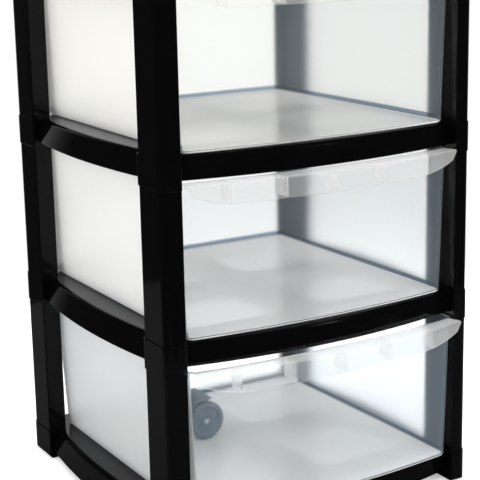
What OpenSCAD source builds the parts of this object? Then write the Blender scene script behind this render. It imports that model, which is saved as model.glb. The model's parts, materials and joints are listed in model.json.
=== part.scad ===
// Drawer tower: three clear drawers in a black stacking frame of shelves and corner posts.
// Millimetres, +Z up. The front faces -Y and the floor is at z = 0.

/* [Tower] */
// Width over the corner posts
tower_w = 390; // [350:1:440]
// Depth over the corner posts
tower_d = 376; // [340:1:430]
// Height of one tier, from seam to seam
tier_h = 195; // [175:1:230]
// Height of the feet below the seam of the base
foot_h = 3; // [2:0.5:6]
// How far the bottom drawer stands open
bottom_open = 12.5; // [0:0.5:20]

/* [Corner posts] */
// Width of a post, seen from the front
post_w = 22; // [20:0.5:26]
// Depth of a post, seen from the side
post_d = 52; // [46:1:58]
// Radius of a post's outer corner
post_r = 12; // [8:0.5:14]
// Wall of a post
post_wall = 2.6; // [2:0.1:3.2]
// Length of the plug at each end of a post
plug_len = 12; // [8:0.5:13]
// Wall of a plug
plug_wall = 2; // [1.4:0.1:2.4]
// Clearance of a plug in its socket
plug_gap = 0.3; // [0.2:0.05:0.5]
// Radius of the small edges
edge_r = 1.5; // [0.8:0.1:2]

/* [Shelf frame] */
// Height of a corner block and of the shelf above its seam
block_h = 33; // [31:0.5:38]
// How far a corner block stands proud of its post
block_proud = 1; // [0.5:0.1:1.5]
// Height of the rails' lower edge above the seam
rail_lift = 7; // [6.5:0.25:9]
// Wall of the rails and the shelf
rail_wall = 2.6; // [2:0.1:3]
// Outward bow of a side rail between its blocks
side_bow = 10; // [4:0.5:12]
// How far the middle of a side rail stands out from the posts
side_out = 6; // [3:0.5:8]
// Lean of a side rail's face, in degrees
side_lean = 20; // [8:1:24]
// Outward bow of the front rail between its blocks
front_bow = 20; // [12:0.5:24]
// How far the middle of the front rail stands out from the posts
front_out = 6; // [2:0.5:8]
// Lean of the front and rear rails' faces, in degrees
front_lean = 3; // [0:1:8]
// Radius of the rounded shoulder along the top of a rail
shoulder_r = 6; // [4:0.5:7]
// Distance of the rear rail's face inside the posts
rear_inset = 2; // [1:0.5:4]
// Width of the cross brace between the shelf's windows
brace_w = 45; // [30:1:60]
// Width of the shelf outside its windows
shelf_rim = 48; // [40:1:60]
// Corner radius of the shelf's windows
window_r = 22; // [10:1:30]
// Depth of the stiffening ribs round the windows
window_rib = 13; // [6:0.5:15]
// Radius of the rounded lower edges of the feet
foot_r = 6; // [3:0.5:8]
// Depth of the shallow tray in the top cover
tray_depth = 1.2; // [0.6:0.1:1.6]
// Radius of the castor sockets in the feet
socket_r = 5.6; // [4.5:0.1:6.5]
// Depth of the castor sockets in the feet
socket_len = 20; // [16:0.5:21]
// Distance of a castor socket's middle inside the posts' outer face
socket_set = 12; // [11:0.5:13]
// Wall of the sleeve that lines a castor socket
sleeve_wall = 1.3; // [1:0.1:1.6]
// Clearance of a sleeve in its foot
sleeve_gap = 0.05; // [0.03:0.01:0.1]

/* [Drawers] */
// Half width of a drawer at its foot
foot_half = 164; // [150:0.5:167]
// Clearance between a drawer's rim and the posts, each side
drawer_gap = 1.2; // [0.6:0.1:2]
// Wall of a drawer
drawer_wall = 2.2; // [1.8:0.1:2.8]
// Clearance under a drawer
drawer_lift = 0.3; // [0.2:0.05:0.6]
// Height of a drawer's rim above the seam over it
rim_rise = 4; // [2:0.25:5]
// How far a drawer's rim stands out from its walls
rim_w = 1.6; // [1:0.1:2.5]
// Thickness of the rim
rim_t = 2; // [1.6:0.1:2.6]
// Distance of a drawer's front corners behind the posts' front
front_set = 10; // [8:0.5:14]
// Outward bow of a drawer's front
drawer_bow = 9.5; // [6:0.5:11]
// Distance of a drawer's back, at its rim, from the back of the tower
back_set = 12; // [10:1:30]
// Lean of a drawer's back wall, from foot to rim
back_lean = 9; // [4:0.5:14]
// Corner radius at a drawer's back
back_r = 10; // [6:0.5:20]
// Corner radius at a drawer's front
front_r = 8; // [5:0.5:12]
// Radius of the edge round a drawer's foot
sole_r = 4; // [2:0.5:6]

/* [Handle hood] */
// How far the middle of the hood stands out from the posts
hood_reach = 23; // [18:0.5:28]
// Bow of the hood between its ends
hood_bow = 20; // [15:0.5:21]
// Half width of the hood
hood_half = 171; // [140:0.5:171.5]
// Half width of the straight part of the hood's lower edge
hood_flat = 110; // [80:1:125]
// Height of the hood's apron below the drawer's rim
hood_drop = 22; // [16:0.5:26]
// Radius in which the hood's lower edge rises towards both ends
hood_sweep = 130; // [100:5:160]
// Radius of the hood's lower corners
hood_end_r = 30; // [22:1:36]
// Wall of the hood
hood_wall = 1.8; // [1.4:0.1:2.2]
// Radius of the hood's rolled shoulder
hood_r = 5; // [3:0.5:7]
// Spacing of the ribs under the hood
hood_rib_step = 62; // [50:1:75]
// Thickness of the ribs under the hood
hood_rib_t = 1.8; // [1.2:0.1:2.4]

/* [Castor] */
// Radius of a castor wheel
wheel_r = 24; // [20:0.5:26]
// Space between a castor wheel and its guard
guard_gap = 4; // [1.5:0.5:5]
// Wall of the castor's guard
guard_wall = 3; // [2:0.1:3.5]
// Width of a castor wheel
wheel_w = 13; // [10:0.5:15]
// Distance of the wheels' axle behind the stem
trail = 24; // [20:0.5:26]
// Half width of the castor's web between its wheels
web_half = 6; // [5:0.5:8]
// Radius of the castor's axle
axle_r = 3; // [2.5:0.1:3.5]
// Radius of the castor's stem
stem_r = 5.5; // [4.5:0.1:6]
// Length of the castor's stem above its collar
stem_len = 19; // [15:0.5:19.5]
// Place of the loose castor's stem from the middle of the tower
castor_x = -70; // [-100:1:-40]
// Place of the loose castor's stem behind the front of the posts
castor_y = 224; // [120:1:240]

/* [Hidden] */
$fn = 64;
arc_fn = 360;
fillet_steps = 6;
sole_steps = 4;
embed = 1.5;
bite = 1;

half_w = tower_w / 2;
mid_d = tower_d / 2;
block_w = post_w + block_proud;
block_d = post_d + 2 * block_proud;
post_h = tier_h - block_h;

// The part's origin is under the middle of the box that holds the tower at rest.
y_mid = (tower_d + block_proud - hood_reach - bottom_open) / 2;

// Radius of an arc that bows by `bow` over a half chord `half`.
function arc_radius(half, bow) = (half * half + bow * bow) / (2 * bow);

side_half = mid_d - post_d - block_proud;
side_arc = arc_radius(side_half, side_bow);
front_half = half_w - post_w;
front_arc = arc_radius(front_half, front_bow);
drawer_front_half = foot_half - front_r;
drawer_arc = arc_radius(drawer_front_half, drawer_bow);
hood_arc = arc_radius(hood_half, hood_bow);

// Inward distance from a rail's lower edge to the centre line of its shoulder.
function shoulder_in(lean) =
    (shoulder_r + (block_h - shoulder_r - rail_lift) * sin(lean)) / cos(lean);

// Place of tier number n's seam above the floor.
function seam(n) = foot_h + n * tier_h;

drawer_z = block_h + drawer_lift;
rim_z = tier_h + rim_rise;
rim_half = half_w - post_w - drawer_gap;
wall_top_half = rim_half - rim_w;
back_top = tower_d - back_set;
back_foot = back_top - back_lean;
hood_low = rim_z - hood_drop;
castor_floor = drawer_z + drawer_wall + drawer_lift;

// ---------------------------------------------------------------- outlines

module corner_cut(r) {
    difference() {
        translate([-bite, -bite]) square(r + bite);
        translate([r, r]) circle(r);
    }
}

// Rectangle whose corners, anticlockwise from the origin, have the four radii.
module soft_rect(w, d, radii) {
    difference() {
        square([w, d]);
        corner_cut(radii[0]);
        translate([w, 0]) mirror([1, 0]) corner_cut(radii[1]);
        translate([w, d]) rotate(180) corner_cut(radii[2]);
        translate([0, d]) mirror([0, 1]) corner_cut(radii[3]);
    }
}

// Section of a front left post, shrunk all round by `inset`.
module post_section(inset) {
    translate([inset, inset])
        soft_rect(post_w - 2 * inset, post_d - 2 * inset,
                  [post_r - inset, edge_r, edge_r, edge_r]);
}

// Section of a rail: a leaning face, a rounded shoulder and the edge of the shelf.
module rail_section(lean) {
    shoulder_x = -shoulder_in(lean);
    shoulder_z = block_h - shoulder_r;
    inner_r = shoulder_r - rail_wall;
    function swing(i) = lean + (90 - lean) * i / fillet_steps;
    outer = [for (i = [0:fillet_steps])
        [shoulder_x + shoulder_r * cos(swing(i)), shoulder_z + shoulder_r * sin(swing(i))]];
    inner = [for (i = [fillet_steps:-1:0])
        [shoulder_x + inner_r * cos(swing(i)), shoulder_z + inner_r * sin(swing(i))]];
    polygon(concat(
        [[0, rail_lift]],
        outer,
        [[shoulder_x - 2 * rail_wall, block_h], [shoulder_x - 2 * rail_wall, block_h - rail_wall]],
        inner,
        [[-rail_wall / cos(lean), rail_lift]]
    ));
}

// Outline of the shelf between the rails.
module shelf_outline() {
    side_x = side_arc - half_w - side_out;
    side_r = side_arc - shoulder_in(side_lean) - bite;
    front_r_out = front_arc - shoulder_in(front_lean) - bite;
    intersection() {
        translate([side_x, mid_d]) circle(side_r, $fn = arc_fn);
        translate([-side_x, mid_d]) circle(side_r, $fn = arc_fn);
        translate([0, front_arc - front_out]) circle(front_r_out, $fn = arc_fn);
        translate([-tower_w, -tower_d])
            square([2 * tower_w, 2 * tower_d - rear_inset - shoulder_in(front_lean) - bite]);
    }
}

// The four windows of a shelf, grown all round by `grow`.
module shelf_windows(grow) {
    win_w = half_w - shelf_rim - brace_w / 2 + 2 * grow;
    win_d = mid_d - shelf_rim - brace_w / 2 + 2 * grow;
    r = window_r + grow;
    for (side = [0, 1], end = [0, 1])
        translate([0, mid_d])
            mirror([side, 0])
                mirror([0, end])
                    translate([brace_w / 2 - grow, brace_w / 2 - grow])
                        soft_rect(win_w, win_d, [r, r, r, r]);
}

// ------------------------------------------------------------ shelf frames

// Takes its children from the front left corner to one corner; side 1 is right, end 1 is back.
module at_corner(side, end) {
    translate([0, mid_d, 0])
        mirror([side, 0, 0])
            mirror([0, end, 0])
                translate([-half_w, -mid_d, 0])
                    children();
}

module at_corners() {
    for (side = [0, 1], end = [0, 1])
        at_corner(side, end) children();
}

module corner_block(z_low) {
    translate([-block_proud, -block_proud, z_low])
        linear_extrude(block_h - z_low)
            soft_rect(block_w, block_d, [post_r + block_proud, edge_r, edge_r, edge_r]);
}

// Two bars with rounded lower edges; what a corner block shares with both is a foot.
module foot_bar_along() {
    translate([-block_proud, tower_d, -foot_h])
        rotate([90, 0, 0])
            linear_extrude(2 * tower_d)
                soft_rect(block_w, tower_w, [foot_r, foot_r / 2, edge_r, edge_r]);
}

module foot_bar_across() {
    translate([-tower_w, -block_proud, -foot_h])
        rotate([90, 0, 90])
            linear_extrude(2 * tower_w)
                soft_rect(block_d, tower_w, [foot_r, foot_r / 2, edge_r, edge_r]);
}

module foot_block() {
    intersection() {
        corner_block(-foot_h);
        foot_bar_along();
        foot_bar_across();
    }
}

module side_rail() {
    swing = asin((side_half + embed) / side_arc);
    translate([side_arc - half_w - side_out, mid_d, 0])
        rotate(180 - swing)
            rotate_extrude(angle = 2 * swing, $fn = arc_fn)
                translate([side_arc, 0])
                    rail_section(side_lean);
}

module front_rail() {
    swing = asin((front_half + embed) / front_arc);
    translate([0, front_arc - front_out, 0])
        rotate(270 - swing)
            rotate_extrude(angle = 2 * swing, $fn = arc_fn)
                translate([front_arc, 0])
                    rail_section(front_lean);
}

module rear_rail() {
    translate([front_half + embed, tower_d - rear_inset, 0])
        rotate([90, 0, -90])
            linear_extrude(2 * (front_half + embed))
                mirror([1, 0])
                    rail_section(front_lean);
}

module rails() {
    side_rail();
    mirror([1, 0, 0]) side_rail();
    front_rail();
    rear_rail();
}

// Socket for a post's plug, its mouth at z = 0 and its depth going up.
module plug_socket() {
    translate([0, 0, -bite])
        linear_extrude(plug_len + plug_gap + bite)
            post_section(post_wall);
}

module sockets_above() {
    at_corners() translate([0, 0, block_h]) mirror([0, 0, 1]) plug_socket();
}

module sockets_below() {
    at_corners() plug_socket();
}

module open_shelf() {
    translate([0, 0, block_h - rail_wall])
        linear_extrude(rail_wall)
            difference() {
                shelf_outline();
                shelf_windows(0);
            }
    translate([0, 0, block_h - window_rib])
        linear_extrude(window_rib - bite)
            difference() {
                shelf_windows(rail_wall);
                shelf_windows(0);
            }
}

module shelf_frame() {
    difference() {
        union() {
            at_corners() corner_block(0);
            rails();
            open_shelf();
        }
        sockets_above();
        sockets_below();
    }
}

module base_frame() {
    color("#101010") tower_place(seam(0))
        difference() {
            union() {
                at_corners() foot_block();
                rails();
                open_shelf();
            }
            sockets_above();
            at_corners()
                translate([socket_set, post_d / 2, -foot_h - bite])
                    linear_extrude(bite + socket_len + sleeve_gap)
                        sleeve_outline(sleeve_gap);
        }
}

// Square outline of a sleeve, grown all round by `grow`.
module sleeve_outline(grow) {
    half = socket_r + sleeve_wall + grow;
    r = edge_r + grow;
    translate([-half, -half]) soft_rect(2 * half, 2 * half, [r, r, r, r]);
}

// Square sleeve with the round castor socket of one foot.
module castor_sleeve(side, end) {
    color("#1c1c1e") tower_place(seam(0))
        at_corner(side, end)
            translate([socket_set, post_d / 2, -foot_h])
                difference() {
                    linear_extrude(socket_len) sleeve_outline(0);
                    translate([0, 0, -bite]) cylinder(h = socket_len + 2 * bite, r = socket_r);
                }
}

module castor_sleeve_front_left() { castor_sleeve(0, 0); }
module castor_sleeve_front_right() { castor_sleeve(1, 0); }
module castor_sleeve_back_left() { castor_sleeve(0, 1); }
module castor_sleeve_back_right() { castor_sleeve(1, 1); }

module shelf_frame_lower() {
    color("#101010") tower_place(seam(1)) shelf_frame();
}

module shelf_frame_upper() {
    color("#101010") tower_place(seam(2)) shelf_frame();
}

module top_cover() {
    color("#101010") tower_place(seam(3))
        difference() {
            union() {
                at_corners() corner_block(0);
                rails();
                translate([0, 0, block_h - rail_wall - tray_depth])
                    linear_extrude(rail_wall + tray_depth) shelf_outline();
            }
            sockets_below();
            translate([0, 0, block_h - tray_depth])
                linear_extrude(tray_depth + bite)
                    translate([-half_w + shelf_rim / 2, shelf_rim / 2])
                        soft_rect(tower_w - shelf_rim, tower_d - shelf_rim,
                                  [window_r, window_r, window_r, window_r]);
        }
}

// ------------------------------------------------------------------- posts

// A closed tube with end plates and a plug at each end, cored right through.
module post() {
    difference() {
        union() {
            linear_extrude(post_h) post_section(0);
            translate([0, 0, -plug_len])
                linear_extrude(post_h + 2 * plug_len)
                    post_section(post_wall + plug_gap);
        }
        translate([0, 0, post_wall])
            linear_extrude(post_h - 2 * post_wall)
                post_section(post_wall);
        translate([0, 0, -plug_len - bite])
            linear_extrude(post_h + 2 * (plug_len + bite))
                post_section(post_wall + plug_gap + plug_wall);
    }
}

module placed_post(tier, side, end) {
    color("#141414") tower_place(seam(tier - 1) + block_h) at_corner(side, end) post();
}

module post_front_left_1() { placed_post(1, 0, 0); }
module post_front_right_1() { placed_post(1, 1, 0); }
module post_back_left_1() { placed_post(1, 0, 1); }
module post_back_right_1() { placed_post(1, 1, 1); }
module post_front_left_2() { placed_post(2, 0, 0); }
module post_front_right_2() { placed_post(2, 1, 0); }
module post_back_left_2() { placed_post(2, 0, 1); }
module post_back_right_2() { placed_post(2, 1, 1); }
module post_front_left_3() { placed_post(3, 0, 0); }
module post_front_right_3() { placed_post(3, 1, 0); }
module post_back_left_3() { placed_post(3, 0, 1); }
module post_back_right_3() { placed_post(3, 1, 1); }

// ----------------------------------------------------------------- drawers

// Plan of a drawer at its rim, shrunk all round by `inset`: a bowed front and round corners.
module drawer_plan(inset) {
    half = wall_top_half - inset;
    bow_y = front_set - drawer_bow + drawer_arc;
    bow_r = drawer_arc - inset;
    corner_r = front_r - inset;
    corner_x = half - corner_r;
    corner_y = bow_y - sqrt(pow(bow_r - corner_r, 2) - corner_x * corner_x);
    meet_x = corner_x * bow_r / (bow_r - corner_r);
    depth = back_top - inset;
    difference() {
        intersection() {
            translate([-half, -tower_d])
                soft_rect(2 * half, tower_d + depth, [bite, bite, back_r - inset, back_r - inset]);
            translate([0, bow_y]) circle(bow_r, $fn = arc_fn);
        }
        for (side = [0, 1])
            mirror([side, 0])
                difference() {
                    translate([meet_x, corner_y - 4 * front_r]) square(4 * front_r);
                    translate([corner_x, corner_y]) circle(corner_r);
                }
    }
}

// Points up one leaning wall, from the round edge of the sole to height z_top.
function wall_points(foot, top, inset, z_top) =
    let (rise = rim_z - drawer_z,
         lean = atan((top - foot) / rise),
         r = sole_r - inset,
         z = drawer_z + sole_r,
         x = foot + (top - foot) * sole_r / rise - sole_r / cos(lean))
    concat(
        [for (i = [0:sole_steps]) [x + r * cos((90 - lean) * i / sole_steps - 90),
                                   z + r * sin((90 - lean) * i / sole_steps - 90)]],
        [[top + (z_top - rim_z) * tan(lean) - inset / cos(lean), z_top]]
    );

// Tapered tub of a drawer, shrunk by `inset`: its plan cut by its front and side views.
module drawer_tub(inset, z_top) {
    right = wall_points(foot_half, wall_top_half, inset, z_top);
    left = [for (i = [len(right) - 1:-1:0]) [-right[i][0], right[i][1]]];
    rear = wall_points(back_foot, back_top, inset, z_top);
    intersection() {
        linear_extrude(2 * tier_h) drawer_plan(inset);
        translate([0, 2 * tower_d, 0])
            rotate([90, 0, 0])
                linear_extrude(3 * tower_d)
                    polygon(concat(right, left));
        translate([-tower_w, 0, 0])
            rotate([90, 0, 90])
                linear_extrude(2 * tower_w)
                    polygon(concat([[-tower_d, drawer_z + inset]], rear, [[-tower_d, z_top]]));
    }
}

// Section of the hood: its top, its rolled shoulder and its apron.
module hood_section() {
    r_in = hood_r - hood_wall;
    function roll(r, i) = [-hood_r + r * sin(90 * i / fillet_steps),
                           -hood_r + r * cos(90 * i / fillet_steps)];
    polygon(concat(
        [[-hood_r - bite, 0]],
        [for (i = [0:fillet_steps]) roll(hood_r, i)],
        [[0, -hood_drop], [-hood_wall, -hood_drop]],
        [for (i = [fillet_steps:-1:0]) roll(r_in, i)],
        [[-hood_r - bite, -hood_wall]]
    ));
}

// Front view of the hood, whose lower edge rises in an arc to its rounded corners.
module hood_elevation() {
    translate([-hood_flat, hood_low]) square([2 * hood_flat, hood_drop + bite]);
    for (side = [0, 1])
        mirror([side, 0])
            intersection() {
                translate([hood_flat - bite, hood_low])
                    square([hood_half - hood_flat + bite, hood_drop + bite]);
                translate([hood_flat - bite, hood_low + hood_sweep])
                    circle(hood_sweep, $fn = arc_fn);
                translate([-hood_half, hood_low])
                    soft_rect(2 * hood_half, tier_h, [hood_end_r, hood_end_r, edge_r, edge_r]);
            }
}

// Region in plan between the drawer's front wall and the hood, short of its face by `short`.
module hood_plan(short) {
    difference() {
        intersection() {
            translate([0, hood_arc - hood_reach]) circle(hood_arc - short, $fn = arc_fn);
            translate([-hood_half, -tower_d]) square([2 * hood_half, tower_d + front_set]);
        }
        translate([0, drawer_arc + front_set - drawer_bow + drawer_wall / 2])
            circle(drawer_arc, $fn = arc_fn);
    }
}

module hood_ribs() {
    count = floor((hood_flat + hood_rib_step / 4) / hood_rib_step);
    translate([0, 0, hood_low + bite])
        linear_extrude(hood_drop - bite - hood_wall / 2)
            intersection() {
                hood_plan(hood_wall / 2);
                for (k = [-count:count])
                    translate([k * hood_rib_step - hood_rib_t / 2, -tower_d])
                        square([hood_rib_t, 2 * tower_d]);
            }
}

module hood() {
    swing = asin(hood_half / hood_arc);
    intersection() {
        translate([0, hood_arc - hood_reach, rim_z])
            rotate(270 - swing)
                rotate_extrude(angle = 2 * swing, $fn = arc_fn)
                    translate([hood_arc, 0])
                        hood_section();
        translate([0, tower_d, 0])
            rotate([90, 0, 0])
                linear_extrude(2 * tower_d)
                    hood_elevation();
    }
    translate([0, 0, rim_z - hood_wall]) linear_extrude(hood_wall) hood_plan(hood_r);
}

module drawer() {
    difference() {
        union() {
            drawer_tub(0, rim_z - rim_t / 2);
            translate([0, 0, rim_z - rim_t]) linear_extrude(rim_t) drawer_plan(-rim_w);
        }
        drawer_tub(drawer_wall, rim_z + bite);
    }
    hood();
    hood_ribs();
}

module drawer_bottom() {
    color("#c6d0d8", 0.5) tower_place(seam(0)) translate([0, -bottom_open, 0]) drawer();
}

module drawer_middle() {
    color("#dfe3e4", 0.5) tower_place(seam(1)) drawer();
}

module drawer_top() {
    color("#e6e6df", 0.5) tower_place(seam(2)) drawer();
}

// ------------------------------------------------------------------ castor

boss_r = 11;
boss_h = 9;
pin_r = 4;
pin_len = 8;
turn_gap = 0.3;
bore_gap = 0.1;
guard_r = wheel_r + guard_gap + guard_wall;
castor_half = web_half + turn_gap + wheel_w + turn_gap;
boss_top = wheel_r + guard_r + boss_h - guard_wall;

module castor_place() {
    color("#3c4650") tower_place(seam(0) + castor_floor)
        translate([castor_x, castor_y - bottom_open, 0])
            children();
}

// Lies along the axle, which runs front to back through the middle of the wheels.
module on_axle() {
    translate([trail, 0, wheel_r]) rotate([90, 0, 0]) children();
}

// The guard over both wheels and the boss of the stem, above the axle.
module castor_guard() {
    mouth = 6;
    difference() {
        union() {
            on_axle() cylinder(h = 2 * castor_half, r = guard_r, center = true);
            translate([0, 0, wheel_r]) cylinder(h = boss_top - wheel_r, r = boss_r);
        }
        on_axle()
            for (s = [0, 1])
                mirror([0, 0, s])
                    translate([0, 0, web_half])
                        cylinder(h = castor_half, r = wheel_r + guard_gap);
        translate([trail - 2 * guard_r, -2 * castor_half, -guard_r])
            cube([4 * guard_r, 4 * castor_half, guard_r + wheel_r]);
        translate([trail + mouth, -2 * castor_half, -guard_r])
            cube([4 * guard_r, 4 * castor_half, 4 * guard_r]);
    }
}

module castor_hood() {
    web_short = 5;
    castor_place()
        difference() {
            union() {
                on_axle() cylinder(h = 2 * web_half, r = wheel_r - web_short, center = true);
                castor_guard();
            }
            on_axle() cylinder(h = 4 * web_half, r = axle_r, center = true);
            translate([0, 0, boss_top - pin_len - turn_gap])
                cylinder(h = pin_len + 2 * bite, r = pin_r + bore_gap);
        }
}

// A wheel with a rounded tread and a dished outer face.
module castor_wheel() {
    tread_r = 3;
    face_w = 6;
    dish = 2.5;
    hub_r = 7.5;
    function tread(i) = [wheel_r - tread_r + tread_r * sin(90 * i / fillet_steps),
                         tread_r * (1 - cos(90 * i / fillet_steps))];
    rotate_extrude()
        polygon(concat(
            [[axle_r + bore_gap, 0]],
            [for (i = [0:fillet_steps]) tread(i)],
            [for (i = [fillet_steps:-1:0]) [tread(i)[0], wheel_w - tread(i)[1]]],
            [[wheel_r - face_w, wheel_w], [wheel_r - face_w - dish, wheel_w - dish],
             [hub_r + dish, wheel_w - dish], [hub_r, wheel_w], [axle_r + bore_gap, wheel_w]]
        ));
}

module castor_wheel_left() {
    castor_place() on_axle() translate([0, 0, web_half + turn_gap]) castor_wheel();
}

module castor_wheel_right() {
    castor_place() on_axle() mirror([0, 0, 1]) translate([0, 0, web_half + turn_gap]) castor_wheel();
}

module castor_axle() {
    castor_place() on_axle() cylinder(h = 2 * castor_half, r = axle_r, center = true);
}

// A pin in the boss, a collar over it and a grooved stem.
module castor_stem() {
    collar_h = 2.5;
    groove = 0.8;
    castor_place()
        translate([0, 0, boss_top]) {
            translate([0, 0, -pin_len]) cylinder(h = pin_len + bite, r = pin_r);
            translate([0, 0, turn_gap]) {
                cylinder(h = collar_h, r = boss_r - edge_r);
                difference() {
                    cylinder(h = collar_h + stem_len, r = stem_r);
                    translate([0, 0, collar_h + stem_len / 2])
                        rotate_extrude()
                            translate([stem_r, 0]) circle(groove);
                }
            }
        }
}

// ------------------------------------------------------------------- whole

// Lifts a tier's parts to their height and brings them over the part's origin.
module tower_place(z) {
    translate([0, -y_mid, z]) children();
}

base_frame();
shelf_frame_lower();
shelf_frame_upper();
top_cover();
post_front_left_1();
post_front_right_1();
post_back_left_1();
post_back_right_1();
post_front_left_2();
post_front_right_2();
post_back_left_2();
post_back_right_2();
post_front_left_3();
post_front_right_3();
post_back_left_3();
post_back_right_3();
drawer_bottom();
drawer_middle();
drawer_top();
castor_sleeve_front_left();
castor_sleeve_front_right();
castor_sleeve_back_left();
castor_sleeve_back_right();
castor_hood();
castor_wheel_left();
castor_wheel_right();
castor_axle();
castor_stem();
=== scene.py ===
import json
import logging
import math
from collections.abc import Callable
from dataclasses import dataclass, field
from enum import Enum

import bmesh
import bpy
from mathutils import Matrix, Vector

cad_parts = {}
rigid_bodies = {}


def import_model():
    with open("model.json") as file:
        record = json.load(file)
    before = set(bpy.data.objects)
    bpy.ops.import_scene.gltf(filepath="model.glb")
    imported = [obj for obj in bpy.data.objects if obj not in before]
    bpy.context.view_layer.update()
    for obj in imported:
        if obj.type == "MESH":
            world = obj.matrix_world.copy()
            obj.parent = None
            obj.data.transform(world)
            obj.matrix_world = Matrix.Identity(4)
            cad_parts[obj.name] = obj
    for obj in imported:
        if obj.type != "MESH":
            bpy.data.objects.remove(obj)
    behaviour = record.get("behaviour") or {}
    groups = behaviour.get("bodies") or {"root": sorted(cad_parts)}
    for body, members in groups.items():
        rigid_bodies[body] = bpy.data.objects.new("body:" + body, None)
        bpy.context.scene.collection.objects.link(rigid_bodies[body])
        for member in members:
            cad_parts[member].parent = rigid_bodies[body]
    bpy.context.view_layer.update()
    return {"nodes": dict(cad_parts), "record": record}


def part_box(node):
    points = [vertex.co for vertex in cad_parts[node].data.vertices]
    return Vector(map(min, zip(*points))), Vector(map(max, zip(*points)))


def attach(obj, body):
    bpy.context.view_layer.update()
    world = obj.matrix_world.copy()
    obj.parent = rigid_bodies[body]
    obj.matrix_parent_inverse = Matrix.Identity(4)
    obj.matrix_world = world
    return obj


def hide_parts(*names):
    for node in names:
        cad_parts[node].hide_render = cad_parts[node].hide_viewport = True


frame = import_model()

MM = 0.001
TINY = 0.01 * MM
log = logging.getLogger("drawer_tower")


# ------------------------------------------------------------------ shader maths


@dataclass(frozen=True)
class Wire:
    """A number, colour or vector on its way through a material's nodes."""

    graph: "Graph"
    socket: bpy.types.NodeSocket

    def _math(self, operation: str, *others: "Wire | float") -> "Wire":
        """Runs one Math node on this value and the others."""
        made = self.graph.node("ShaderNodeMath", {"operation": operation}, [self, *others])
        return made.out("Value")

    def __add__(self, other: "Wire | float") -> "Wire":
        """This value plus another."""
        return self._math("ADD", other)

    def __sub__(self, other: "Wire | float") -> "Wire":
        """This value less another."""
        return self._math("SUBTRACT", other)

    def __rsub__(self, other: float) -> "Wire":
        """A number less this value."""
        made = self.graph.node("ShaderNodeMath", {"operation": "SUBTRACT"}, [other, self])
        return made.out("Value")

    def __mul__(self, other: "Wire | float") -> "Wire":
        """This value times another."""
        return self._math("MULTIPLY", other)

    __radd__ = __add__

    def clamp(self) -> "Wire":
        """This value held between 0 and 1."""
        made = self.graph.node("ShaderNodeClamp", {}, {"Value": self})
        return made.out("Result")

    def span(self, low: float, high: float, to_low: float = 0.0, to_high: float = 1.0) -> "Wire":
        """Maps low..high to to_low..to_high along a smooth step.

        Args:
            low: the value that gives to_low.
            high: the value that gives to_high.
            to_low: the result at and below low.
            to_high: the result at and above high.

        Returns:
            The mapped value.
        """
        settings = {"interpolation_type": "SMOOTHSTEP"}
        values = {"Value": self, "From Min": low, "From Max": high, "To Min": to_low, "To Max": to_high}
        return self.graph.node("ShaderNodeMapRange", settings, values).out("Result")


@dataclass(frozen=True)
class Made:
    """A node that was just added, whose outputs are read by name."""

    graph: "Graph"
    node: bpy.types.Node

    def out(self, name: str) -> Wire:
        """The output socket of that name."""
        return Wire(self.graph, self.node.outputs[name])


@dataclass
class Graph:
    """The node tree of one material or world."""

    tree: bpy.types.NodeTree

    @classmethod
    def of(cls, owner: "bpy.types.Material | bpy.types.World") -> "Graph":
        """An empty graph on a material or world.

        Args:
            owner: what the graph belongs to.

        Returns:
            The graph, with no node in it.
        """
        owner.use_nodes = True
        owner.node_tree.nodes.clear()
        return cls(owner.node_tree)

    def node(self, kind: str, settings: dict | None = None, values: "dict | list | None" = None) -> Made:
        """Adds any node.

        Args:
            kind: the node's type.
            settings: its own options, which are set first.
            values: a wire or a constant for its sockets, by name or in order.

        Returns:
            The node that was added.
        """
        made = self.tree.nodes.new(kind)
        for name, value in (settings or {}).items():
            setattr(made, name, value)
        pairs = values.items() if isinstance(values, dict) else enumerate(values or [])
        for key, value in pairs:
            socket = made.inputs[key]
            if isinstance(value, Wire):
                self.tree.links.new(value.socket, socket)
            else:
                socket.default_value = value
        return Made(self, made)

    def place(self, scale: tuple[float, float, float] = (1, 1, 1)) -> Wire:
        """The object's own coordinates, stretched by scale."""
        coordinates = self.node("ShaderNodeTexCoord").out("Object")
        return self.node("ShaderNodeMapping", {}, {"Vector": coordinates, "Scale": scale}).out("Vector")

    def noise(
        self, scale: float, detail: float = 3.0, stretch: tuple[float, float, float] = (1, 1, 1)
    ) -> Wire:
        """Fractal noise from 0 to 1 over the object's own coordinates."""
        values = {"Vector": self.place(stretch), "Scale": scale, "Detail": detail}
        return self.node("ShaderNodeTexNoise", {}, values).out("Fac")

    def blend(self, factor: "Wire | float", low: "Wire | tuple", high: "Wire | tuple") -> Wire:
        """Mixes two colours by a factor.

        Args:
            factor: 0 for all of low, 1 for all of high.
            low: the one colour.
            high: the other colour.

        Returns:
            The mixed colour.
        """
        # A Mix node repeats its sockets' names for each type, so the colour ones go by number.
        factor_in, low_in, high_in, colour_out = 0, 6, 7, 2
        values = {factor_in: factor, low_in: low, high_in: high}
        made = self.node("ShaderNodeMix", {"data_type": "RGBA"}, values)
        return Wire(self, made.node.outputs[colour_out])

    def finish(self, shader: Wire, kind: str = "ShaderNodeOutputMaterial") -> None:
        """Sends a shader to the output."""
        self.node(kind, {}, {"Surface": shader})


def rgb(red: float, green: float, blue: float) -> tuple[float, float, float, float]:
    """An opaque colour."""
    return (red, green, blue, 1.0)


# --------------------------------------------------------------------- finishes


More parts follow.
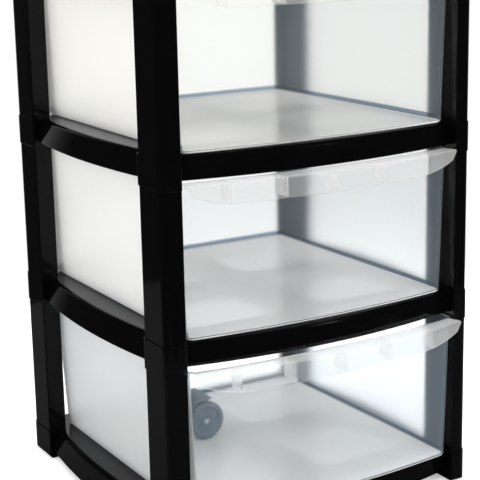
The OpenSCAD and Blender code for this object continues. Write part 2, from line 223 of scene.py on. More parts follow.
@dataclass(frozen=True)
class GlossBlack:
    """Glossy black moulded plastic of the frame.

    Attributes:
        name: the material's name.
        colour: its body colour.
        roughness: how rough its polished faces are.
        gloss: specular level, which is low because the pigment lets little light back.
        edge: radius of the softened edges in metres.
    """

    name: str = "gloss_black_plastic"
    colour: tuple[float, float, float, float] = rgb(0.0015, 0.0015, 0.0017)
    roughness: float = 0.05
    gloss: float = 0.16
    edge: float = 0.9 * MM

    def make(self) -> bpy.types.Material:
        """Builds the material: polish that varies, a faint ripple, dust and soft edges.

        Returns:
            The material.
        """
        material = bpy.data.materials.new(self.name)
        g = Graph.of(material)
        cloud = g.noise(14.0, 4.0)
        dust = g.noise(900.0, 2.0).span(0.70, 0.78)
        scuff = g.noise(60.0, 5.0, (1.0, 1.0, 0.12)).span(0.62, 0.80)
        rough = self.roughness + cloud.span(0.35, 0.7) * 0.03 + dust * 0.15 + scuff * 0.05
        base = g.blend(dust * 0.05, self.colour, rgb(0.10, 0.10, 0.095))
        soft = g.node("ShaderNodeBevel", {"samples": 4}, {"Radius": self.edge}).out("Normal")
        swell = g.noise(55.0, 2.0)
        ripple = g.node(
            "ShaderNodeBump", {}, {"Strength": 0.06, "Distance": 0.0006, "Height": swell, "Normal": soft}
        ).out("Normal")
        shader = g.node(
            "ShaderNodeBsdfPrincipled",
            {},
            {
                "Base Color": base,
                "Roughness": rough.clamp(),
                "IOR": 1.46,
                "Specular IOR Level": self.gloss,
                "Normal": ripple,
            },
        )
        g.finish(shader.out("BSDF"))
        return material


@dataclass(frozen=True)
class ClearPlastic:
    """Lightly frosted clear polypropylene of the drawers.

    A face is fairly clear where it is seen square on and milky where it is seen aslant. Light that
    leaves the wall again on its far side is hardly scattered there.

    Attributes:
        name: the material's name.
        tint: the colour that each face gives to light.
        haze: the share of light that a face scatters, seen square on.
        fog: that share, seen aslant.
        blur: roughness of what is seen through it.
        polish: roughness of its gloss.
        grain: strength of the moulded grain.
        glow: the part of the scattered light that comes through from behind.
        bend: refractive index of what is seen through it, which widens the blur.
        body: colour of the scattered light, beside the tint.
        leave: the share that scatters where light leaves the wall on its far side.
        square_on: how far a face turns away, from 0 to 1, up to which it has its haze.
        aslant: how far it turns away once it has all its fog.
    """

    name: str
    tint: tuple[float, float, float, float]
    haze: float
    fog: float
    blur: float = 0.2
    polish: float = 0.16
    grain: float = 0.03
    glow: float = 0.5
    bend: float = 1.05
    body: tuple[float, float, float, float] = rgb(0.92, 0.965, 1.0)
    leave: float = 0.03
    square_on: float = 0.14
    aslant: float = 0.52

    def scattered(self, level: float = 1.0) -> tuple[float, float, float, float]:
        """The colour of the scattered light at a level."""
        return rgb(*(level * a * b for a, b in zip(self.tint[:3], self.body[:3])))

    def make(self) -> bpy.types.Material:
        """Builds the material: a clear share that blurs, and a milky share that catches light.

        Returns:
            The material.
        """
        material = bpy.data.materials.new(self.name)
        g = Graph.of(material)
        path = g.node("ShaderNodeLightPath")
        unseen = (path.out("Is Shadow Ray") + path.out("Is Diffuse Ray")).clamp()
        flow = g.noise(7.0, 3.0, (1.0, 1.0, 0.5))
        speck = g.noise(420.0, 2.0).span(0.68, 0.76)
        grit = g.noise(240.0, 3.0)
        bump = g.node(
            "ShaderNodeBump", {}, {"Strength": self.grain, "Distance": 0.0004, "Height": grit}
        ).out("Normal")
        milk = g.node(
            "ShaderNodeBsdfPrincipled",
            {},
            {
                "Base Color": g.blend(flow, self.scattered(0.98), self.scattered()),
                "Roughness": flow.span(0.3, 0.7, self.polish, self.polish + 0.08),
                "Normal": bump,
            },
        )
        lit = g.node("ShaderNodeBsdfTranslucent", {}, {"Color": self.scattered()})
        mixed = [self.glow, milk.out("BSDF"), lit.out("BSDF")]
        body = g.node("ShaderNodeMixShader", {}, mixed).out("Shader")
        through = {"Color": self.tint, "Roughness": self.blur, "IOR": self.bend}
        clear = g.node("ShaderNodeBsdfRefraction", {}, through)
        slant = g.node("ShaderNodeLayerWeight", {}, {"Blend": 0.5}).out("Facing")
        milky = slant.span(self.square_on, self.aslant, self.haze, self.fog)
        enter = milky + flow.span(0.3, 0.7) * 0.03 + speck * 0.05
        leaving = g.node("ShaderNodeNewGeometry").out("Backfacing")
        share = leaving * self.leave + (1.0 - leaving) * enter
        seen = g.node("ShaderNodeMixShader", {}, [share.clamp(), clear.out("BSDF"), body]).out("Shader")
        open_air = g.node("ShaderNodeBsdfTransparent", {}, {"Color": rgb(1, 1, 1)})
        g.finish(g.node("ShaderNodeMixShader", {}, [unseen, seen, open_air.out("BSDF")]).out("Shader"))
        return material


@dataclass(frozen=True)
class CastorPlastic:
    """Satin dark plastic of the castor."""

    name: str = "castor_plastic"
    colour: tuple[float, float, float, float] = rgb(0.10, 0.125, 0.155)
    worn: tuple[float, float, float, float] = rgb(0.16, 0.18, 0.205)

    def make(self) -> bpy.types.Material:
        """Builds the material: mottled colour, wear and a fine moulded grain.

        Returns:
            The material.
        """
        material = bpy.data.materials.new(self.name)
        g = Graph.of(material)
        wear = g.noise(130.0, 5.0).span(0.45, 0.75)
        soft = g.node("ShaderNodeBevel", {"samples": 4}, {"Radius": 0.6 * MM}).out("Normal")
        grain = g.noise(1500.0)
        bump = g.node(
            "ShaderNodeBump", {}, {"Strength": 0.2, "Distance": 0.0002, "Height": grain, "Normal": soft}
        ).out("Normal")
        shader = g.node(
            "ShaderNodeBsdfPrincipled",
            {},
            {
                "Base Color": g.blend(wear, self.colour, self.worn),
                "Roughness": wear * 0.2 + 0.38,
                "Normal": bump,
            },
        )
        g.finish(shader.out("BSDF"))
        return material


@dataclass(frozen=True)
class CastorSteel:
    """Turned steel of the castor's axle and stem."""

    name: str = "castor_steel"

    def make(self) -> bpy.types.Material:
        """Builds the material: turning marks round the piece and a few dull stains.

        Returns:
            The material.
        """
        material = bpy.data.materials.new(self.name)
        g = Graph.of(material)
        rings = g.noise(1200.0, 2.0, (0.05, 0.05, 1.0))
        stain = g.noise(90.0, 4.0).span(0.5, 0.75)
        marks = {"Strength": 0.25, "Distance": 0.0001, "Height": rings}
        bump = g.node("ShaderNodeBump", {}, marks).out("Normal")
        shader = g.node(
            "ShaderNodeBsdfPrincipled",
            {},
            {
                "Base Color": g.blend(stain, rgb(0.56, 0.57, 0.60), rgb(0.34, 0.33, 0.32)),
                "Metallic": 1.0 - stain * 0.3,
                "Roughness": rings * 0.15 + 0.22 + stain * 0.2,
                "Normal": bump,
            },
        )
        g.finish(shader.out("BSDF"))
        return material


# -------------------------------------------------------------- modelling by hand


class Pick(Enum):
    """Which elements of a mesh a selection takes."""

    VERTS = "VERT"
    EDGES = "EDGE"
    FACES = "FACE"


def deselect_all() -> None:
    """Leaves edit mode and selects nothing."""
    if bpy.context.object and bpy.context.object.mode != "OBJECT":
        bpy.ops.object.mode_set(mode="OBJECT")
    for obj in bpy.context.view_layer.objects:
        obj.select_set(False)


def activate(obj: bpy.types.Object) -> None:
    """Selects one object alone and makes it active.

    Args:
        obj: the object.
    """
    deselect_all()
    obj.select_set(True)
    bpy.context.view_layer.objects.active = obj


def edit(obj: bpy.types.Object) -> None:
    """Opens one object in edit mode."""
    activate(obj)
    bpy.ops.object.mode_set(mode="EDIT")


def pick(obj: bpy.types.Object, kind: Pick, test: Callable[..., bool]) -> int:
    """Selects elements of the mesh in edit mode, by their place or normal.

    Args:
        obj: the object, in edit mode.
        kind: vertices, edges or faces.
        test: takes an element and says whether it is selected.

    Returns:
        How many were selected.
    """
    bpy.ops.mesh.select_mode(type=kind.value)
    mesh = bmesh.from_edit_mesh(obj.data)
    for group in (mesh.faces, mesh.edges, mesh.verts):
        for element in group:
            element.select_set(False)
    chosen = {Pick.VERTS: mesh.verts, Pick.EDGES: mesh.edges, Pick.FACES: mesh.faces}[kind]
    count = 0
    for element in chosen:
        if test(element):
            element.select_set(True)
            count += 1
    mesh.select_flush_mode()
    bmesh.update_edit_mesh(obj.data)
    return count


def box(name: str, low: Vector, high: Vector) -> bpy.types.Object:
    """Adds a cube primitive that fills a box, with its place in its mesh.

    Args:
        name: the object's name.
        low: the box's lowest corner.
        high: its highest corner.

    Returns:
        The new object.
    """
    deselect_all()
    middle = (low + high) / 2
    bpy.ops.mesh.primitive_cube_add(size=1, location=middle, scale=high - low)
    obj = bpy.context.object
    obj.name = name
    bpy.ops.object.transform_apply(location=True, rotation=True, scale=True)
    return obj


def thicken(obj: bpy.types.Object, wall: float) -> None:
    """Adds the modifier that gives a surface its wall, on the inner side.

    Args:
        obj: the surface, with its faces pointing outwards.
        wall: the wall's thickness in metres.
    """
    modifier = obj.modifiers.new("wall", "SOLIDIFY")
    modifier.thickness = wall
    modifier.offset = -1.0
    modifier.use_even_offset = True


def soften(obj: bpy.types.Object, width: float, degrees: float = 30.0) -> None:
    """Adds the modifier that rounds an object's edges.

    Args:
        obj: the object.
        width: the width of the rounding in metres.
        degrees: the angle between faces from which an edge is rounded.
    """
    modifier = obj.modifiers.new("soft", "BEVEL")
    modifier.width = width
    modifier.segments = 2
    modifier.limit_method = "ANGLE"
    modifier.angle_limit = math.radians(degrees)


def finish_modifiers(obj: bpy.types.Object) -> None:
    """Applies every modifier of an object in order.

    Args:
        obj: the object.
    """
    activate(obj)
    for modifier in list(obj.modifiers):
        bpy.ops.object.modifier_apply(modifier=modifier.name)


def smooth(obj: bpy.types.Object, degrees: float) -> None:
    """Shades an object smooth up to an angle between faces."""
    activate(obj)
    bpy.ops.object.shade_smooth_by_angle(angle=math.radians(degrees))


def joined(name: str, parts: list[bpy.types.Object]) -> bpy.types.Object:
    """Joins several objects into the first and renames it.

    Args:
        name: the joined object's name.
        parts: the objects to join.

    Returns:
        The joined object.
    """
    deselect_all()
    for part in parts:
        part.select_set(True)
    bpy.context.view_layer.objects.active = parts[0]
    bpy.ops.object.join()
    parts[0].name = name
    return parts[0]


# ------------------------------------------------------------------------ camera


@dataclass(frozen=True)
class Viewpoint:
    """The camera, solved from the photograph's vertical and seam lines.

    Attributes:
        place: where it stands, in metres, from the middle of the posts' front plane.
        yaw: degrees from +Y towards +X.
        pitch: degrees below the horizon.
        roll: degrees of tilt.
        focal: focal length in pixels of the photograph.
        centre: the principal point in those pixels.
        frame_px: side of the photograph in pixels.
        sensor: width of the sensor in millimetres, which the lens is worked out for.
        near: the distance in metres before which nothing is drawn.
        far: the distance in metres beyond which nothing is drawn.
    """

    place: tuple[float, float, float] = (-0.8022, -1.1717, 0.6726)
    yaw: float = 29.9
    pitch: float = 12.92
    roll: float = 1.35
    focal: float = 1375.4
    centre: tuple[float, float] = (222.1, 214.9)
    frame_px: int = 480
    sensor: float = 36.0
    near: float = 0.05
    far: float = 50.0

    def build(self, front: float) -> bpy.types.Object:
        """Adds the camera and makes it the scene's own.

        Args:
            front: y of the posts' front plane in the part's frame.

        Returns:
            The camera object.
        """
        yaw, pitch, roll = (math.radians(v) for v in (self.yaw, self.pitch, self.roll))
        forward = Vector(
            (math.sin(yaw) * math.cos(pitch), math.cos(yaw) * math.cos(pitch), -math.sin(pitch))
        )
        right = Vector((math.cos(yaw), -math.sin(yaw), 0.0))
        down = forward.cross(right)
        cam_right = right * math.cos(roll) + down * math.sin(roll)
        cam_down = down * math.cos(roll) - right * math.sin(roll)
        turn = Matrix((cam_right, -cam_down, -forward)).transposed()
        data = bpy.data.cameras.new("camera")
        data.sensor_width = self.sensor
        data.lens = self.sensor * self.focal / self.frame_px
        data.shift_x = (self.frame_px / 2 - self.centre[0]) / self.frame_px
        data.shift_y = (self.centre[1] - self.frame_px / 2) / self.frame_px
        data.clip_start = self.near
        data.clip_end = self.far
        camera = bpy.data.objects.new("camera", data)
        stand = Vector(self.place) + Vector((0, front, 0))
        camera.matrix_world = Matrix.Translation(stand) @ turn.to_4x4()
        bpy.context.scene.collection.objects.link(camera)
        bpy.context.scene.camera = camera
        return camera


# ------------------------------------------------------------------------ studio


@dataclass(frozen=True)
class Softbox:
    """One rectangular lamp that faces a point of the tower.

    Attributes:
        name: the lamp's name.
        place: where it hangs, in metres.
        aim: the point that it faces.
        size: its width and height in metres.
        watts: its power.
        mirrored: whether glossy faces show it.
    """

    name: str
    place: tuple[float, float, float]
    aim: tuple[float, float, float]
    size: tuple[float, float]
    watts: float
    mirrored: bool = False

    def build(self) -> bpy.types.Object:
        """Adds the lamp.

        Returns:
            The lamp's object.
        """
        data = bpy.data.lights.new(self.name, "AREA")
        data.shape = "RECTANGLE"
        data.size, data.size_y = self.size
        data.energy = self.watts
        lamp = bpy.data.objects.new(self.name, data)
        lamp.location = self.place
        lamp.visible_glossy = self.mirrored
        lamp.rotation_euler = (Vector(self.aim) - Vector(self.place)).to_track_quat("-Z", "Y").to_euler()
        bpy.context.scene.collection.objects.link(lamp)
        return lamp


@dataclass
class Studio:
    """A plain pale floor, a white surround and soft lamps.

    Attributes:
        sky: how brightly the surround lights what is matt.
        behind: the direction, x and y, from the camera past the tower.
        behind_edge: the cosines from that direction at which glossy faces start to see the
            surround, and see all of it.
        dark: how bright the surround is to them elsewhere.
        floor_half: half the floor's side in metres.
        floor_tone: the floor's darkest and lightest tone.
        floor_dim: the share of that tone which mirror reflections leave out.
        floor_lift: the light that the camera's view of the floor gains.
        lamps: the soft lamps.
    """

    sky: float = 1.38
    behind: tuple[float, float] = (0.5, 0.866)
    behind_edge: tuple[float, float] = (0.6, 0.95)
    dark: float = 0.02
    floor_half: float = 0.8
    floor_tone: tuple[float, float] = (0.80, 0.84)
    floor_dim: float = 0.88
    floor_lift: float = 0.35
    lamps: tuple[Softbox, ...] = (
        Softbox("softbox_top", (0.1, 0.1, 2.2), (0.0, 0.0, 0.3), (1.2, 1.2), 16.0),
        Softbox("softbox_left", (-2.2, 0.3, 1.0), (0.0, 0.0, 0.3), (1.4, 1.4), 8.0),
        Softbox("softbox_key", (1.0, -1.75, 0.95), (0.0, -0.2, 0.25), (0.30, 0.16), 6.0, mirrored=True),
    )

    def world(self) -> None:
        """Makes a surround that is white to the camera and soft to the object."""
        world = bpy.data.worlds.new("surround")
        bpy.context.scene.world = world
        g = Graph.of(world)
        path = g.node("ShaderNodeLightPath")
        seen = (path.out("Is Camera Ray") + path.out("Is Transmission Ray")).clamp()
        outwards = g.node("ShaderNodeTexCoord").out("Generated")
        direction = g.node("ShaderNodeSeparateXYZ", {}, {"Vector": outwards})
        ahead = direction.out("X") * self.behind[0] + direction.out("Y") * self.behind[1]
        studio = ahead.span(*self.behind_edge, self.dark, 1.0)
        glossy = path.out("Is Glossy Ray")
        level = seen + (1.0 - seen) * (glossy * studio + (1.0 - glossy) * self.sky)
        surround = g.node("ShaderNodeBackground", {}, {"Color": rgb(1, 1, 1), "Strength": level})
        g.finish(surround.out("Background"), "ShaderNodeOutputWorld")

    def floor(self) -> bpy.types.Object:
        """Lays the pale floor, which stays white to the camera, keeps a shadow and dims in reflections.

        Returns:
            The floor's object.
        """
        deselect_all()
        bpy.ops.mesh.primitive_plane_add(size=2 * self.floor_half, location=(0, 0, 0))
        floor = bpy.context.object
        floor.name = "floor"
        material = bpy.data.materials.new("pale_floor")
        g = Graph.of(material)
        path = g.node("ShaderNodeLightPath")
        seen = (path.out("Is Camera Ray") + path.out("Is Transmission Ray")).clamp()
        mirrored = path.out("Is Glossy Ray") * (1.0 - path.out("Is Transmission Ray"))
        tone = g.noise(3.0).span(0.2, 0.8, *self.floor_tone) * (1.0 - mirrored * self.floor_dim)
        matt = g.node("ShaderNodeBsdfDiffuse", {}, {"Color": g.blend(tone, rgb(0, 0, 0), rgb(1, 1, 1))})
        glow = {"Color": rgb(1, 1, 1), "Strength": seen * self.floor_lift}
        lift = g.node("ShaderNodeEmission", {}, glow)
        both = g.node("ShaderNodeAddShader", {}, [matt.out("BSDF"), lift.out("Emission")])
        g.finish(both.out("Shader"))
        floor.data.materials.append(material)
        return floor

    def build(self) -> None:
        """Sets the stage and the lamps."""
        self.world()
        self.floor()
        for lamp in self.lamps:
            lamp.build()


# ------------------------------------------------------------------------- frame


@dataclass
class BlackFrame:
    """The base, shelves, cover and posts, which keep their CAD solids."""

    finish: GlossBlack = field(default_factory=GlossBlack)

    def build(self) -> list[bpy.types.Object]:
        """Gives each solid of the frame its finish.

        Returns:
            The frame's pieces.
        """
        material = self.finish.make()
        dressed = []
        for name in frame["record"]["behaviour"]["bodies"]["tower"]:
            obj = frame["nodes"][name]
            obj.data.materials.clear()
            obj.data.materials.append(material)
            dressed.append(obj)
        return dressed


@dataclass
class LooseCastor:
    """The castor in the bottom drawer, which keeps its CAD solids."""

    plastic: CastorPlastic = field(default_factory=CastorPlastic)
    steel: CastorSteel = field(default_factory=CastorSteel)

    def build(self) -> list[bpy.types.Object]:
        """Gives each solid of the castor its finish.

        Returns:
            The castor's pieces.
        """
        plastic, steel = self.plastic.make(), self.steel.make()
        wanted = {
            "castor_hood": (plastic, "castor_plastic"),
            "castor_wheel_left": (plastic, "castor_plastic"),
            "castor_wheel_right": (plastic, "castor_plastic"),
            "castor_axle": (steel, "castor_steel"),
            "castor_stem": (steel, "castor_steel"),
        }
        for name, (material, slot) in wanted.items():
            obj = frame["nodes"][name]
            obj.data.materials.clear()
            obj.data.materials.append(material)
        return [frame["nodes"][name] for name in wanted]


# ----------------------------------------------------------------------- drawers


class Tier(Enum):
    """The three drawers, with the number of their tier."""

    BOTTOM = 0
    MIDDLE = 1
    TOP = 2


class Skin(Enum):
    """The parts of a drawer's surface that have their own plastic, in the order of its slots."""

    OUTSIDE = 0
    FLOOR = 1
    HOOD = 2
    FRONT = 3
    INSIDE = 4
    # A band of painted shade low on the inside of the walls: a dark slate plastic in place of the shade
    # of the black rails behind them.
    FOOT = 5


@dataclass(frozen=True)
class Tone:
    """The tone of one drawer's plastic.

    Attributes:
        tint: what each of its faces gives to the light.
        outer: what the outside of its walls scatters, beside the tint; for the bottom drawer it is
            darkened as painted shade, for the lesser light that reaches the bottom tier.
        veil: the share of light that its front scatters, seen square on.
    """

    tint: tuple[float, float, float, float]
    outer: tuple[float, float, float, float]
    veil: float = 0.03


@dataclass
class ClearDrawer:
    """One clear tub with its rim, its hood and the ribs under the hood.

    Lengths are in metres. Depths run back from the posts' front plane and heights up from the
    seam under the drawer.
    """

    foot_half: float = 164.0 * MM
    rim_half: float = 171.8 * MM
    bead: float = 1.6 * MM
    bead_h: float = 2.0 * MM
    wall: float = 2.2 * MM
    foot_z: float = 33.3 * MM
    rim_z: float = 199.0 * MM
    front_set: float = 10.0 * MM
    front_bow: float = 9.5 * MM
    back_top: float = 364.0 * MM
    back_lean: float = 9.0 * MM
    back_r: float = 10.0 * MM
    front_r: float = 8.0 * MM
    sole_r: float = 4.0 * MM
    # Height of the band of painted shade at the foot of the walls.
    shaded_foot_band: float = 8.0 * MM
    hood_reach: float = 23.0 * MM
    hood_bow: float = 20.0 * MM
    hood_half: float = 171.0 * MM
    hood_flat: float = 110.0 * MM
    hood_drop: float = 22.0 * MM
    hood_sweep: float = 130.0 * MM
    hood_end_r: float = 30.0 * MM
    hood_wall: float = 1.8 * MM
    hood_r: float = 5.0 * MM
    rib_step: float = 62.0 * MM
    rib_t: float = 1.8 * MM
    columns: int = 22
    back_segments: int = 10
    front_segments: int = 6
    sole_segments: int = 5
    roll_segments: int = 6
    apron_rows: int = 5
    hood_columns: int = 56
    apron_least: float = 0.12

    @staticmethod
    def arc_radius(half: float, bow: float) -> float:
        """Radius of an arc that bows by bow over a half chord half."""
        return (half * half + bow * bow) / (2 * bow)

    @property
    def wall_half(self) -> float:
        """Half width of the tub at its rim."""
        return self.rim_half - self.bead

    @property
    def front_arc(self) -> float:
        """Radius of the bowed front."""
        return self.arc_radius(self.foot_half - self.front_r, self.front_bow)

    @property
    def hood_arc(self) -> float:
        """Radius of the hood's face in plan."""
        return self.arc_radius(self.hood_half, self.hood_bow)

    @property
    def flange(self) -> float:
        """Depth of the hood's flange at its middle, from its face to the drawer's front."""
        return self.hood_reach + self.front_set - self.front_bow

    def front_y(self, x: float) -> float:
        """Depth of the bowed front at a place across it."""
        return self.front_set - self.front_bow + self.front_arc - math.sqrt(self.front_arc**2 - x * x)

    def hood_y(self, x: float) -> float:
        """Depth of the hood's face at a place across it."""
        return self.hood_arc - self.hood_reach - math.sqrt(self.hood_arc**2 - x * x)

    def apron_share(self, x: float) -> float:
        """Height of the apron at a place across it.

        Args:
            x: the place across it.

        Returns:
            The height, as a share of its full height.
        """
        sweep = (self.hood_sweep, self.hood_flat)
        corner = (self.hood_end_r, self.hood_half - self.hood_end_r)
        rise = 0.0
        for radius, start in (sweep, corner):
            past = max(abs(x) - start, 0.0)
            rise = max(rise, radius - math.sqrt(max(radius * radius - past * past, 0.0)))
        return max(1.0 - rise / self.hood_drop, 0.0)

    def tub(self) -> bpy.types.Object:
        """Models the tapered tub: a cube, cut, bowed, tapered, rounded, opened and given its wall.

        Returns:
            The tub's object.
        """
        low = Vector((-self.wall_half, self.front_set - self.front_bow, self.foot_z))
        high = Vector((self.wall_half, self.back_top, self.rim_z))
        obj = box("tub", low, high)
        edit(obj)
        step = 2 * self.wall_half / self.columns
        for i in range(1, self.columns):
            pick(obj, Pick.FACES, lambda f: f.normal.y < -0.9)
            bpy.ops.mesh.bisect(plane_co=(-self.wall_half + i * step, 0, 0), plane_no=(1, 0, 0))
        for i in range(self.columns + 1):
            x = -self.wall_half + i * step
            pick(obj, Pick.VERTS, lambda v, x=x: abs(v.co.x - x) < TINY and abs(v.co.y - low.y) < TINY)
            bpy.ops.transform.translate(value=(0, self.front_y(x) - low.y, 0))
        pick(obj, Pick.VERTS, lambda v: v.co.z < low.z + TINY)
        shrink = self.foot_half / self.wall_half
        bpy.ops.transform.resize(value=(shrink, 1, 1), center_override=(0, 0, low.z))
        pick(obj, Pick.VERTS, lambda v: v.co.z < low.z + TINY and v.co.y > high.y - TINY)
        bpy.ops.transform.translate(value=(0, -self.back_lean, 0))
        for level in (self.rim_z - self.bead_h, self.foot_z + self.shaded_foot_band):
            pick(obj, Pick.FACES, lambda f: True)
            bpy.ops.mesh.bisect(plane_co=(0, 0, level), plane_no=(0, 0, 1))
        self._round(obj, lambda y: y > high.y / 2, self.back_r, self.back_segments)
        self._round(obj, lambda y: y < high.y / 2, self.front_r, self.front_segments)
        pick(obj, Pick.EDGES, lambda e: self._is_sole_edge(e, low.z))
        bpy.ops.mesh.bevel(offset=self.sole_r, segments=self.sole_segments, profile=0.5, affect="EDGES")
        pick(obj, Pick.FACES, lambda f: f.normal.z > 0.9 and f.calc_center_median().z > high.z - TINY)
        bpy.ops.mesh.delete(type="FACE")
        bpy.ops.object.mode_set(mode="OBJECT")
        thicken(obj, self.wall)
        finish_modifiers(obj)
        self._bead(obj)
        return obj

    def _round(
        self, obj: bpy.types.Object, side: Callable[[float], bool], radius: float, segments: int
    ) -> None:
        """Rounds the upright edges of the tub at its front or its back.

        Args:
            obj: the tub, in edit mode.
            side: takes a depth and says whether it is on the side to round.
            radius: the rounding's radius in metres.
            segments: how many faces the rounding has.
        """
        limit = self.foot_half - MM
        least_height = 0.5 * MM
        least_turn = math.radians(40)

        def upright(edge: bmesh.types.BMEdge) -> bool:
            """True for an edge at a corner of the tub."""
            a, b = (v.co for v in edge.verts)
            corner = min(abs(a.x), abs(b.x)) > limit and side(a.y) and side(b.y)
            tall = abs(a.z - b.z) > least_height
            return corner and tall and edge.calc_face_angle(0.0) > least_turn

        pick(obj, Pick.EDGES, upright)
        bpy.ops.mesh.bevel(offset=radius, segments=segments, profile=0.5, affect="EDGES")

    @staticmethod
    def _is_sole_edge(edge: bmesh.types.BMEdge, z: float) -> bool:
        """True for an edge between the sole and a wall."""
        flat = all(abs(v.co.z - z) < TINY for v in edge.verts)
        return flat and edge.calc_face_angle(0.0) > math.radians(45)

    def _bead(self, obj: bpy.types.Object) -> None:
        """Draws the rim's bead out of the top of the outer wall and softens its edges.

        Args:
            obj: the tub, with its wall.
        """
        edit(obj)
        start = self.rim_z - self.bead_h

        def outer_top(face: bmesh.types.BMFace) -> bool:
            """True for a face of the outer wall above the bead's lower edge."""
            c = face.calc_center_median()
            away = Vector((c.x, c.y - self.back_top / 2, 0)).dot(face.normal) > 0
            return c.z > start and abs(face.normal.z) < 0.5 and away

        pick(obj, Pick.FACES, outer_top)
        bpy.ops.mesh.extrude_region_shrink_fatten(TRANSFORM_OT_shrink_fatten={"value": self.bead})
        bpy.ops.object.mode_set(mode="OBJECT")
        soften(obj, 0.5 * MM, 50)
        finish_modifiers(obj)

    def hood_section(self) -> list[Vector]:
        """The hood's section at its middle, from the drawer's front round the roll to the apron's foot.

        Returns:
            The section's points, at x = 0.
        """
        face = self.hood_y(0)
        shares = (0.0, 0.45, 1.0)
        points = [(face + self.flange * (1 - a) + self.hood_r * a, self.rim_z) for a in shares]
        for i in range(1, self.roll_segments + 1):
            turn = math.radians(90 * i / self.roll_segments)
            back = face + self.hood_r * (1 - math.sin(turn))
            points.append((back, self.rim_z - self.hood_r * (1 - math.cos(turn))))
        fall = self.hood_drop - self.hood_r
        for i in range(1, self.apron_rows + 1):
            points.append((face, self.rim_z - self.hood_r - fall * i / self.apron_rows))
        return [Vector((0, y, z)) for y, z in points]

    def hood(self) -> bpy.types.Object:
        """Models the hood: a section drawn edge by edge, spun along its arc and given its wall.

        Returns:
            The hood's object.
        """
        deselect_all()
        bpy.ops.mesh.primitive_plane_add(size=MM, location=(0, 0, 0))
        obj = bpy.context.object
        obj.name = "hood"
        edit(obj)
        bpy.ops.mesh.select_all(action="SELECT")
        bpy.ops.mesh.merge(type="CENTER")
        section = self.hood_section()
        pick(obj, Pick.VERTS, lambda v: True)
        bpy.ops.transform.translate(value=section[0])
        for here, there in zip(section, section[1:]):
            bpy.ops.mesh.extrude_region_move(TRANSFORM_OT_translate={"value": there - here})
        centre = (0, self.hood_arc - self.hood_reach, 0)
        swing = math.asin(self.hood_half / self.hood_arc)
        pick(obj, Pick.EDGES, lambda e: True)
        bpy.ops.mesh.spin(steps=self.hood_columns, angle=swing, center=centre, axis=(0, 0, 1))
        bpy.ops.object.mode_set(mode="OBJECT")
        activate(obj)
        mirror = obj.modifiers.new("other_half", "MIRROR")
        mirror.use_axis = (True, False, False)
        mirror.merge_threshold = 0.02 * MM
        finish_modifiers(obj)
        self._fit_hood(obj)
        thicken(obj, self.hood_wall)
        soften(obj, 0.4 * MM, 60)
        finish_modifiers(obj)
        return obj

    def _fit_hood(self, obj: bpy.types.Object) -> None:
        """Brings the flange's inner edge to the drawer's front and shapes the apron's lower edge.

        Args:
            obj: the hood, before it has its wall.
        """
        for vert in obj.data.vertices:
            co = vert.co
            x = max(-self.hood_half, min(self.hood_half, co.x))
            face = self.hood_y(x)
            inner = self.front_y(x) + self.wall / 2
            back = co.y - face
            if co.z > self.rim_z - TINY and back > self.hood_r:
                share = (back - self.hood_r) / (self.flange - self.hood_r)
                co.y = face + self.hood_r + share * (inner - face - self.hood_r)
            height = self.apron_least + (1 - self.apron_least) * self.apron_share(co.x)
            co.z = self.rim_z - (self.rim_z - co.z) * height
        edit(obj)
        bpy.ops.mesh.select_all(action="SELECT")
        bpy.ops.mesh.normals_make_consistent(inside=False)
        bpy.ops.object.mode_set(mode="OBJECT")
        top = max(obj.data.polygons, key=lambda p: p.center.z + p.area)
        if top.normal.z < 0:
            obj.data.flip_normals()

    def ribs(self) -> list[bpy.types.Object]:
        """Models the gusset ribs that stand between the drawer's front and the hood.

        Returns:
            The ribs, from left to right.
        """
        count = int((self.hood_flat + self.rib_step / 4) / self.rib_step)
        half = self.rib_t / 2
        foot = self.rim_z - self.hood_drop + MM
        top = self.rim_z - self.hood_wall / 2
        made = []
        for k in range(-count, count + 1):
            x = k * self.rib_step
            low = Vector((x - half, self.hood_y(x) + self.hood_wall / 2, foot))
            high = Vector((x + half, self.front_y(x) + self.wall / 2, top))
            rib = box("rib", low, high)
            soften(rib, 0.35 * MM)
            finish_modifiers(rib)
            made.append(rib)
        return made

    def skin(self, polygon: bpy.types.MeshPolygon) -> Skin:
        """Says which plastic a face of the tub has, by its place and normal.

        Args:
            polygon: a face of the tub.

        Returns:
            The part of the surface that it belongs to.
        """
        c = polygon.center
        away = Vector((c.x, c.y - self.back_top / 2, 0)).dot(polygon.normal) > 0
        # The round between the floor and a wall counts as floor over most of its height.
        if c.z < self.foot_z + self.sole_r * 0.8:
            return Skin.FLOOR
        if c.y < self.front_set + self.front_r:
            return Skin.FRONT
        if away:
            return Skin.OUTSIDE
        # Inner faces low on the walls take the band of painted shade.
        return Skin.FOOT if c.z < self.foot_z + self.shaded_foot_band else Skin.INSIDE

    def model(self, materials: list[bpy.types.Material]) -> bpy.types.Object:
        """Builds the whole drawer at its closed place over a seam at z = 0.

        Args:
            materials: one for each skin, in their order.

        Returns:
            The drawer's one object.
        """
        tub, hood, ribs = self.tub(), self.hood(), self.ribs()
        for part in (tub, hood, *ribs):
            part.data.materials.clear()
            for material in materials:
                part.data.materials.append(material)
        for part in (hood, *ribs):
            for polygon in part.data.polygons:
                polygon.material_index = Skin.HOOD.value
        for polygon in tub.data.polygons:
            polygon.material_index = self.skin(polygon).value
        for part in (tub, hood, *ribs):
            smooth(part, 35)
        return joined("drawer", [tub, hood, *ribs])


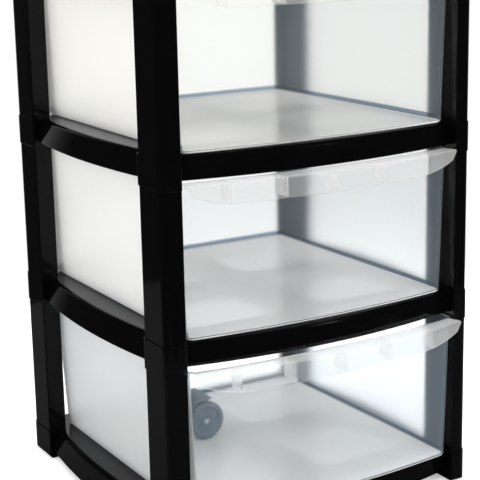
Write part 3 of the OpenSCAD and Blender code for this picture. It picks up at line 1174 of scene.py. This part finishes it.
@dataclass
class DrawerSet:
    """The three drawers, modelled once and copied, each with its own plastics."""

    front: float
    tier_h: float = 195.0 * MM
    foot_h: float = 3.0 * MM
    bottom_open: float = 12.5 * MM
    drawer: ClearDrawer = field(default_factory=ClearDrawer)
    tones: dict[Tier, Tone] = field(
        default_factory=lambda: {
            # The bottom drawer's outer scatter is darkened to 0.68 as painted shade, for the lesser
            # light that reaches the bottom tier.
            Tier.BOTTOM: Tone(rgb(0.965, 0.975, 0.98), rgb(0.68, 0.68, 0.675), veil=0.07),
            Tier.MIDDLE: Tone(rgb(0.965, 0.97, 0.967), rgb(0.91, 0.90, 0.875)),
            Tier.TOP: Tone(rgb(0.998, 0.998, 0.985), rgb(0.90, 0.89, 0.855)),
        }
    )
    # Painted shade: the slate of the band low on the walls, which stands in for the dark rails seen
    # through them.
    shade_slate: tuple[float, float, float, float] = rgb(0.26, 0.33, 0.43)
    sheen: tuple[float, float, float, float] = rgb(0.70, 0.85, 1.0)
    white: tuple[float, float, float, float] = rgb(1.0, 0.99, 0.975)

    def plastics(self, tier: Tier) -> list[bpy.types.Material]:
        """Makes the plastics of one drawer.

        Args:
            tier: which drawer.

        Returns:
            One material for each skin, in their order.
        """
        word, tone = tier.name.lower(), self.tones[tier]
        finishes = {
            Skin.OUTSIDE: ClearPlastic(
                f"frosted_wall_{word}", tone.tint, haze=0.35, fog=0.7, blur=0.7, bend=1.15, glow=0.1,
                body=tone.outer,
            ),
            Skin.FLOOR: ClearPlastic(
                f"frosted_floor_{word}", tone.tint, haze=0.25, fog=0.85, blur=0.5, grain=0.1, glow=0.1,
                body=self.white,
            ),
            Skin.HOOD: ClearPlastic(
                f"clear_hood_{word}", tone.tint, haze=0.17, fog=0.45, blur=0.2, polish=0.06, grain=0.02,
                bend=1.01, body=self.white,
            ),
            Skin.FRONT: ClearPlastic(
                f"clear_front_{word}", tone.tint, haze=tone.veil, fog=0.10, blur=0.2, body=self.sheen
            ),
            Skin.INSIDE: ClearPlastic(
                f"polished_wall_{word}", tone.tint, haze=0.03, fog=0.06, blur=0.7, bend=1.15, glow=0.6,
                body=self.sheen,
            ),
            # Painted shade: a dark slate band along the foot of the walls, in place of the shade of the
            # black rails behind them.
            Skin.FOOT: ClearPlastic(
                f"thick_foot_{word}", self.shade_slate, haze=0.05, fog=0.2, blur=0.3, bend=1.1, glow=0.6
            ),
        }
        return [finishes[skin].make() for skin in Skin]

    def build(self) -> list[bpy.types.Object]:
        """Models the drawers and puts each in its tier.

        Returns:
            The drawers, from the bottom up.
        """
        first = self.drawer.model(self.plastics(Tier.BOTTOM))
        made = []
        for tier in Tier:
            obj = first
            if tier is not Tier.BOTTOM:
                obj = first.copy()
                obj.data = first.data.copy()
                bpy.context.scene.collection.objects.link(obj)
                for i, material in enumerate(self.plastics(tier)):
                    obj.data.materials[i] = material
            made.append(obj)
        for tier, obj in zip(Tier, made):
            word = tier.name.lower()
            ahead = self.bottom_open if tier is Tier.BOTTOM else 0.0
            rise = self.foot_h + tier.value * self.tier_h
            obj.data.transform(Matrix.Translation((0, self.front - ahead, rise)))
            obj.name = f"clear_drawer_{word}"
            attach(obj, f"{word}_drawer")
            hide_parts(f"drawer_{word}")
        return made


# -------------------------------------------------------------------------- main


def main() -> None:
    """Builds the camera, the stage and every piece of the tower."""
    logging.basicConfig(level=logging.INFO, format="%(name)s: %(message)s")
    bpy.context.scene.view_settings.view_transform = "Standard"
    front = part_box("post_front_left_1")[0].y
    Viewpoint().build(front)
    Studio().build()
    for obj in BlackFrame().build():
        log.info("frame piece %s", obj.name)
    for obj in LooseCastor().build():
        log.info("castor piece %s", obj.name)
    for obj in DrawerSet(front).build():
        log.info("drawer %s, %d faces", obj.name, len(obj.data.polygons))
    deselect_all()


if __name__ == "__main__":
    main()
